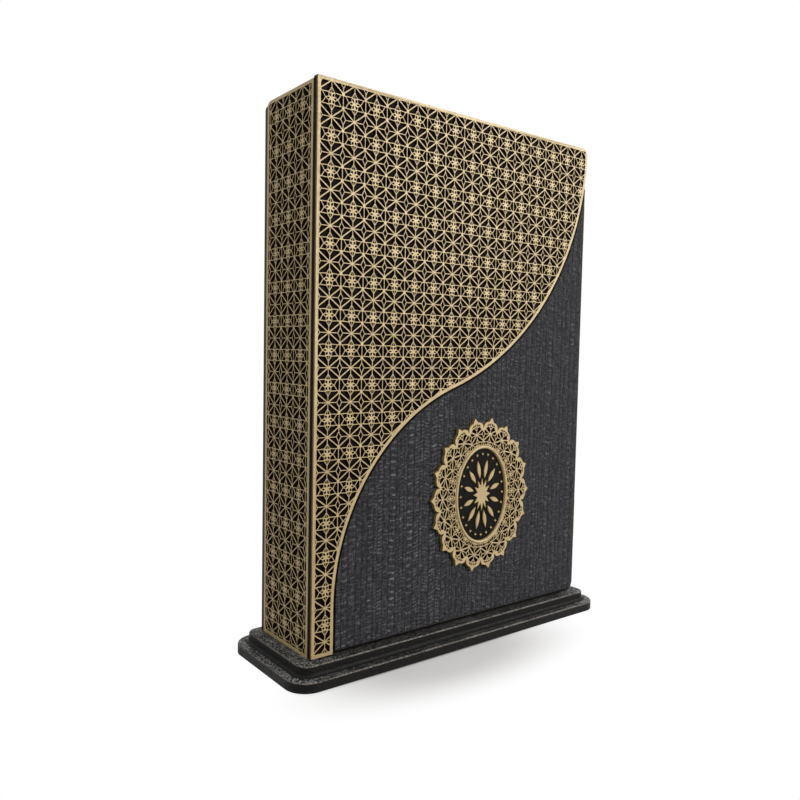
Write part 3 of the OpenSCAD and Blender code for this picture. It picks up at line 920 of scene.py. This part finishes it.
# Velvet: thin sheets with rolled edges and a slight swell, its waves as lengths along two sides
SHEET_STEP = 4.0
EDGE_SHARE = 0.35
ROLL_WIDTH = 1.2
ROLL_MARKS = (0.0, 0.25, 0.6, 1.0)
SWELL = 0.12
SWELL_WAVES = ((17.0, 29.0), (-41.0, 23.0))


def sheet_marks(length, roll):
    """Places of the mesh lines along one side: close together where the edge rolls over."""
    edge = [share * roll for share in ROLL_MARKS]
    count = max(2, math.ceil((length - 2 * roll) / SHEET_STEP))
    inner = [roll + (length - 2 * roll) * k / count for k in range(1, count)]
    return edge + inner + [length - e for e in reversed(edge)]


def soft_sheet(name, node, thin, facing, body, slot, material):
    """A cloth over a flat piece: thin is the axis of its thickness, and facing is 1 or -1 along it."""
    low, high = node_box(node)
    first, second = [k for k in range(3) if k != thin]
    lengths = [high[k] - low[k] for k in range(3)]
    thick = lengths[thin]
    roll = ROLL_WIDTH * thick
    marks_a = sheet_marks(lengths[first], roll)
    marks_b = sheet_marks(lengths[second], roll)
    base = low[thin] if facing > 0 else high[thin]

    def rolled(distance):
        return math.sqrt(1 - (1 - min(1.0, distance / roll)) ** 2)

    def point(a, b, height):
        p = [0.0, 0.0, 0.0]
        p[first] = (low[first] + a) * MM
        p[second] = (low[second] + b) * MM
        p[thin] = (base + facing * height) * MM
        return tuple(p)

    verts = []
    for a in marks_a:
        for b in marks_b:
            edge = min(a, lengths[first] - a, b, lengths[second] - b)
            waves = sum(math.sin(a / along_a + b / along_b) for along_a, along_b in SWELL_WAVES)
            swell = 1 - SWELL * (2 + waves) / 4
            verts.append(point(a, b, thick * (EDGE_SHARE + (1 - EDGE_SHARE) * rolled(edge)) * swell))
    faces = closed_sheet(verts, len(marks_b), len(marks_a), thin, base * MM)
    if (facing > 0) == (thin == 1):
        faces = [tuple(reversed(face)) for face in faces]
    piece = link(name, smooth_mesh(name, verts, faces), body, slot, [node], material)


soft_sheet("velvet_back", "lining_back", 1, -1, "case", "velvet", velvet)
soft_sheet("velvet_left", "lining_left", 0, 1, "case", "velvet", velvet)
soft_sheet("velvet_right", "lining_right", 0, -1, "case", "velvet", velvet)
soft_sheet("velvet_floor", "lining_floor", 2, 1, "case", "velvet", velvet)
soft_sheet("velvet_top", "lining_top", 2, -1, "case", "velvet", velvet)
soft_sheet("velvet_door", "door_lining", 1, 1, "door", "velvet", velvet)

# Plinth moulding and felt
UPPER_STEP_ROUND = 6.0
COVE = 1.8
COVE_STEPS = 8
COVE_SUNK = 0.05
FELT_EDGE = 0.3


def rounded_rectangle(width, depth, radius, steps=12):
    outline = []
    for sx, sy, quarter in ((1, 1, 0), (-1, 1, 1), (-1, -1, 2), (1, -1, 3)):
        centre = Vector((sx * (width / 2 - radius), sy * (depth / 2 - radius)))
        outline += arc(centre, radius, quarter * math.pi / 2, (quarter + 1) * math.pi / 2, steps)
    return outline


def make_cove():
    """A hollow moulding in the corner between the plinth's two steps, sunk a little into both."""
    low, high = node_box("plinth_upper")
    width = high[0] - low[0]
    depth = high[1] - low[1]
    tread = node_box("plinth_lower")[1][2]
    section = [(-COVE_SUNK, COVE)]
    for k in range(COVE_STEPS + 1):
        angle = math.pi / 2 * k / COVE_STEPS
        section.append((COVE - COVE * math.cos(angle), COVE - COVE * math.sin(angle)))
    section += [(COVE, -COVE_SUNK), (-COVE_SUNK, -COVE_SUNK)]
    verts = []
    for out, up in section:
        loop = rounded_rectangle(width + 2 * out, depth + 2 * out, UPPER_STEP_ROUND + out)
        verts += [(p.x * MM, p.y * MM, (tread + up) * MM) for p in loop]
    count = len(verts) // len(section)
    faces = []
    for row in range(len(section)):
        here = row * count
        below = (row + 1) % len(section) * count
        for k in range(count):
            after = (k + 1) % count
            faces.append((here + k, below + k, below + after, here + after))
    link("plinth_cove", new_mesh("plinth_cove", verts, faces), "case", "plinth_black", [], cove_black)


def make_felt():
    """Felt under the plinth, with its rounded corners and a soft lower edge."""
    low, high = node_box("felt_pad")
    width = high[0] - low[0]
    depth = high[1] - low[1]
    upper_low = node_box("plinth_upper")[0]
    outline = rounded_rectangle(width, depth, UPPER_STEP_ROUND + upper_low[0] - low[0])

    def place(u, v, depth_in):
        return (u * MM, -v * MM, (low[2] + depth_in) * MM)

    shape = cut_plate(outline, [], place, high[2] - low[2], FELT_EDGE)
    mesh = plate_mesh("felt_sole", [shape])
    piece = link("felt_sole", mesh, "case", "felt", ["felt_pad"], felt, felt, felt)
    area = signed_area(outline) * MM * MM


make_cove()
make_felt()

# Petal ring and rim of the medallion
PETAL_STEPS = 20
SLOPE_STEP = 0.25
PETAL_BORDER = 0.85
RIM_BORDER = 0.5
STAR_REACH = 0.785
RING_REPEAT = 0.30
RING_MAIN_BAR = 0.95
RING_FINE_BAR = 0.66
RING_EDGE = 0.12
RING_CLEARANCE = 0.2
RIM_STEPS = 144
RIM_FIT = 0.1
BEAD_STEPS = 10
BEAD_DEPTH = 0.45
BEAD_FULLNESS = 0.7
PETAL_PITCH = 2 * math.pi / PETALS


def petal_reach(angle):
    """How far the petals reach, with a pointed tip on a round shoulder."""
    across = 2 * abs((angle / PETAL_PITCH) % 1 - 0.5)
    if across < TIP_SHARE:
        rise = 1 - TIP_SLOPE * across
    else:
        shoulder = 1 - ((across - TIP_SHARE) / (1 - TIP_SHARE)) ** 2
        rise = (1 - TIP_SLOPE * TIP_SHARE) * math.sqrt(max(0.0, shoulder))
    return VALLEY + (1 - VALLEY) * rise


def petal_point(angle):
    return oval_point(MEDALLION_WIDTH, MEDALLION_HEIGHT, petal_reach(angle), angle)


def petal_outline():
    count = PETALS * PETAL_STEPS
    return [petal_point(-2 * math.pi * k / count) for k in range(count)]


def ring_edges(point):
    """Lines that bound the ring's holes near a point: the petals' border and the rim's."""
    angle = math.atan2(point.x / MEDALLION_WIDTH, point.y / MEDALLION_HEIGHT)
    step = SLOPE_STEP * PETAL_PITCH / PETAL_STEPS
    along = petal_point(angle + step) - petal_point(angle - step)
    outward = Vector((-along.y, along.x)).normalized()
    if outward.dot(point) < 0:
        outward = -outward
    rim_angle = math.atan2(point.x / rim_width, point.y / rim_height)
    rim_point = oval_point(rim_width, rim_height, 1, rim_angle)
    normal = Vector((rim_point.x / rim_width ** 2, rim_point.y / rim_height ** 2)).normalized()
    return [(outward, outward.dot(petal_point(angle)) - PETAL_BORDER),
            (-normal, -(normal.dot(rim_point) + RIM_BORDER))]


def ring_point(petal, row, p):
    """A point of the flat repeat, bent around the ring."""
    angle = PETAL_PITCH * (petal + 0.5 + p.x / cell_x)
    reach = STAR_REACH + (p.y / cell_y - 0.5 + row) * RING_REPEAT
    return oval_point(MEDALLION_WIDTH, MEDALLION_HEIGHT, reach, angle)


def ring_holes():
    holes = []
    pattern = repeat_holes(RING_MAIN_BAR, RING_FINE_BAR)
    for petal in range(PETALS):
        for row in (-1, 0, 1):
            for loop in pattern:
                bent = counter_clockwise([ring_point(petal, row, p) for p in loop])
                for edge in [e for p in bent for e in ring_edges(p)]:
                    bent = clip(bent, edge)
                bent = without_short_sides(bent)
                if len(bent) > 2 and signed_area(bent) > SMALLEST_HOLE:
                    holes.append(bent)
    return holes


def make_petal_ring():
    inner = oval_loop(rim_width + RING_CLEARANCE, rim_height + RING_CLEARANCE)
    place = medallion_place(ring_low[1])
    thick = ring_high[1] - ring_low[1]
    shape = cut_plate(petal_outline(), [inner] + ring_holes(), place, thick, RING_EDGE)
    mesh = plate_mesh("petal_ring", [shape])
    link("petal_ring", mesh, "door", "gold_fret", ["medallion_ring"], gold, cut_edge, gilt_edge)


def make_rim():
    """The raised rim of the oval: a round bead swept around it."""
    tall = rim_high[1] - rim_low[1]
    profile = [(0, 1)]
    for k in range(BEAD_STEPS + 1):
        angle = math.pi * k / BEAD_STEPS
        profile.append(((1 - math.cos(angle)) / 2, BEAD_DEPTH * (1 - math.sin(angle) ** BEAD_FULLNESS)))
    profile.append((1, 1))
    place = medallion_place(rim_low[1])
    verts = []
    for k in range(RIM_STEPS):
        angle = 2 * math.pi * k / RIM_STEPS
        inside = oval_point(oval_width + 2 * RIM_FIT, oval_height + 2 * RIM_FIT, 1, angle)
        outside = oval_point(rim_width, rim_height, 1, angle)
        for share, depth in profile:
            p = inside + (outside - inside) * share
            verts.append(place(p.x, p.y, tall * depth))
    count = len(profile)
    faces = []
    for k in range(RIM_STEPS):
        after = (k + 1) % RIM_STEPS
        for i in range(count):
            j = (i + 1) % count
            faces.append((k * count + i, k * count + j, after * count + j, after * count + i))
    mesh = smooth_mesh("oval_rim", verts, faces)
    link("oval_rim", mesh, "door", "gold_fret", ["medallion_rim"], gold)


# Ornament in the oval: a rosette, leaves between its tips and a ring of dots
ORNAMENT_COUNT = 12
ROSETTE_TIP = 0.36
ROSETTE_NOTCH = 0.2
LEAF_START = 0.36
LEAF_END = 0.77
LEAF_WIDTH = 2.6
LEAF_STEPS = 10
DOT_REACH = 0.885
DOT_RADIUS = 0.95
DOT_NOTCH = 0.5
ORNAMENT_EDGE = 0.28


def rosette_loop():
    loop = []
    for k in range(2 * ORNAMENT_COUNT):
        reach = ROSETTE_TIP if k % 2 == 0 else ROSETTE_NOTCH
        loop.append(oval_point(oval_width, oval_height, reach, -math.pi * k / ORNAMENT_COUNT))
    return loop


def leaf_loop(angle):
    inner = oval_point(oval_width, oval_height, LEAF_START, angle)
    along = oval_point(oval_width, oval_height, LEAF_END, angle) - inner
    across = Vector((along.y, -along.x)).normalized() * (LEAF_WIDTH / 2)
    shares = [k / LEAF_STEPS for k in range(LEAF_STEPS + 1)]
    there = [inner + along * s + across * math.sin(math.pi * s) for s in shares]
    back = [inner + along * s - across * math.sin(math.pi * s) for s in reversed(shares[1:-1])]
    return there + back


def dot_loop(angle):
    middle = oval_point(oval_width, oval_height, DOT_REACH, angle)
    return [middle + from_middle(DOT_RADIUS if k % 2 == 0 else DOT_NOTCH, 45 * k) for k in range(8)]


def make_ornament():
    pitch = 2 * math.pi / ORNAMENT_COUNT
    loops = [rosette_loop()]
    loops += [leaf_loop(pitch * (k + 0.5)) for k in range(ORNAMENT_COUNT)]
    loops += [dot_loop(pitch * k / 2) for k in range(2 * ORNAMENT_COUNT)]
    place = medallion_place(ornament_low[1])
    thick = ornament_high[1] - ornament_low[1]
    plates = [cut_plate(counter_clockwise(loop), [], place, thick, ORNAMENT_EDGE) for loop in loops]
    mesh = plate_mesh("oval_rosette", plates)
    link("oval_rosette", mesh, "door", "gold_fret", ["medallion_ornament"], gold, cut_edge, gilt_edge)


make_petal_ring()
make_rim()
make_ornament()

# Camera, as in the photograph: an 800 x 800 picture with its focal length in pixels
PHOTO_SIDE = 800
FOCAL_PIXELS = 745.3
SENSOR = 36.0
NEAREST_SEEN = 0.01
AZIMUTH = math.radians(37.58)
ELEVATION = math.radians(3.64)
ROLL = math.radians(1.1)

# Place of the camera from the door's lower left corner, in millimetres
FROM_DOOR_CORNER = Vector((-184.6, -307.2, 151.1))


def make_camera():
    data = bpy.data.cameras.new("photo_camera")
    data.sensor_width = SENSOR
    data.lens = FOCAL_PIXELS / PHOTO_SIDE * SENSOR
    data.clip_start = NEAREST_SEEN
    camera = bpy.data.objects.new("photo_camera", data)
    bpy.context.collection.objects.link(camera)
    level = Vector((math.sin(AZIMUTH), math.cos(AZIMUTH), 0))
    forward = level * math.cos(ELEVATION) - Vector((0, 0, math.sin(ELEVATION)))
    flat_right = Vector((math.cos(AZIMUTH), -math.sin(AZIMUTH), 0))
    flat_up = flat_right.cross(forward)
    right = math.cos(ROLL) * flat_right + math.sin(ROLL) * flat_up
    up = math.cos(ROLL) * flat_up - math.sin(ROLL) * flat_right
    turn = Matrix((right, up, -forward)).transposed().to_4x4()
    place = (Vector((door_left, door_face, door_bottom)) + FROM_DOOR_CORNER) * MM
    camera.matrix_world = Matrix.Translation(place) @ turn
    bpy.context.scene.camera = camera


# Stage and light, with lengths in metres
SURROUND_LIGHT = 0.3
FLOOR_REACH = 12.0
# Grey of the oval patch in front: a painted shadow, darker than the white floor even where nothing shades
# it
SHADOW_PATCH_GREY = (0.625, 0.617, 0.609, 1)
SHADOW_AT = (-0.022, -0.0405, 0.0)
SHADOW_STRETCH = (0.42, 1.0, 1.0)
SHADOW_CORE = 0.012
SHADOW_REACH = 0.046

# Lamps: name, place, the point they face, side in metres and power in watts
LAMPS = (
    ("key", (0.6, -0.85, 0.5), (0, 0, 0.15), 0.6, 15),
    ("fill", (-1.2, -0.4, 0.6), (0, 0, 0.15), 0.8, 5.5),
    ("top", (-0.1, 0.2, 1.5), (0, 0, 0.1), 0.9, 9),
)


def white_when_seen(tree):
    """Strength 1 to the camera, in reflections and through clear things, and less as light."""
    path = tree.nodes.new("ShaderNodeLightPath")
    seen = math_node(tree, "MAXIMUM", path.outputs["Is Camera Ray"], path.outputs["Is Glossy Ray"])
    seen = math_node(tree, "MAXIMUM", seen, path.outputs["Is Transmission Ray"])
    strength = tree.nodes.new("ShaderNodeMapRange")
    strength.inputs["To Min"].default_value = SURROUND_LIGHT
    strength.inputs["To Max"].default_value = 1.0
    tree.links.new(seen, strength.inputs["Value"])
    return strength.outputs["Result"]


def make_floor():
    """White floor with a painted shadow close in front of the object: an oval grey patch, darker than the
    white even where nothing shades it, that also takes the lamps' shadows.
    """
    r = FLOOR_REACH
    mesh = new_mesh("floor", [(-r, -r, 0), (r, -r, 0), (r, r, 0), (-r, r, 0)], [(0, 1, 2, 3)])
    floor = bpy.data.objects.new("floor", mesh)
    bpy.context.collection.objects.link(floor)
    material, tree, shader = new_material("pale_floor")
    shader.inputs["Base Color"].default_value = SHADOW_PATCH_GREY
    shader.inputs["Roughness"].default_value = 0.9
    shader.inputs["Specular IOR Level"].default_value = 0.0
    glow = tree.nodes.new("ShaderNodeEmission")
    tree.links.new(white_when_seen(tree), glow.inputs["Strength"])
    mix = tree.nodes.new("ShaderNodeMixShader")
    distance = tree.nodes.new("ShaderNodeVectorMath")
    distance.operation = "DISTANCE"
    tree.links.new(coordinates(tree, SHADOW_STRETCH), distance.inputs[0])
    distance.inputs[1].default_value = [a * b for a, b in zip(SHADOW_AT, SHADOW_STRETCH)]
    fade = tree.nodes.new("ShaderNodeMapRange")
    fade.interpolation_type = "SMOOTHSTEP"
    fade.inputs["From Min"].default_value = SHADOW_CORE
    fade.inputs["From Max"].default_value = SHADOW_REACH
    tree.links.new(distance.outputs["Value"], fade.inputs["Value"])
    tree.links.new(fade.outputs["Result"], mix.inputs["Fac"])
    tree.links.new(shader.outputs["BSDF"], mix.inputs[1])
    tree.links.new(glow.outputs["Emission"], mix.inputs[2])
    tree.links.new(mix.outputs["Shader"], tree.nodes["Material Output"].inputs["Surface"])
    mesh.materials.append(material)


def make_world():
    world = bpy.data.worlds.new("studio")
    bpy.context.scene.world = world
    world.use_nodes = True
    tree = world.node_tree
    background = tree.nodes["Background"]
    background.inputs["Color"].default_value = (1, 1, 1, 1)
    tree.links.new(white_when_seen(tree), background.inputs["Strength"])


def area_light(name, place, target, size, power):
    data = bpy.data.lights.new(name, "AREA")
    data.size = size
    data.energy = power
    lamp = bpy.data.objects.new(name, data)
    bpy.context.collection.objects.link(lamp)
    lamp.location = place
    lamp.rotation_euler = (Vector(target) - Vector(place)).to_track_quat("-Z", "Y").to_euler()


make_camera()
make_floor()
make_world()
for lamp in LAMPS:
    area_light(*lamp)
bpy.context.scene.view_settings.view_transform = "Standard"
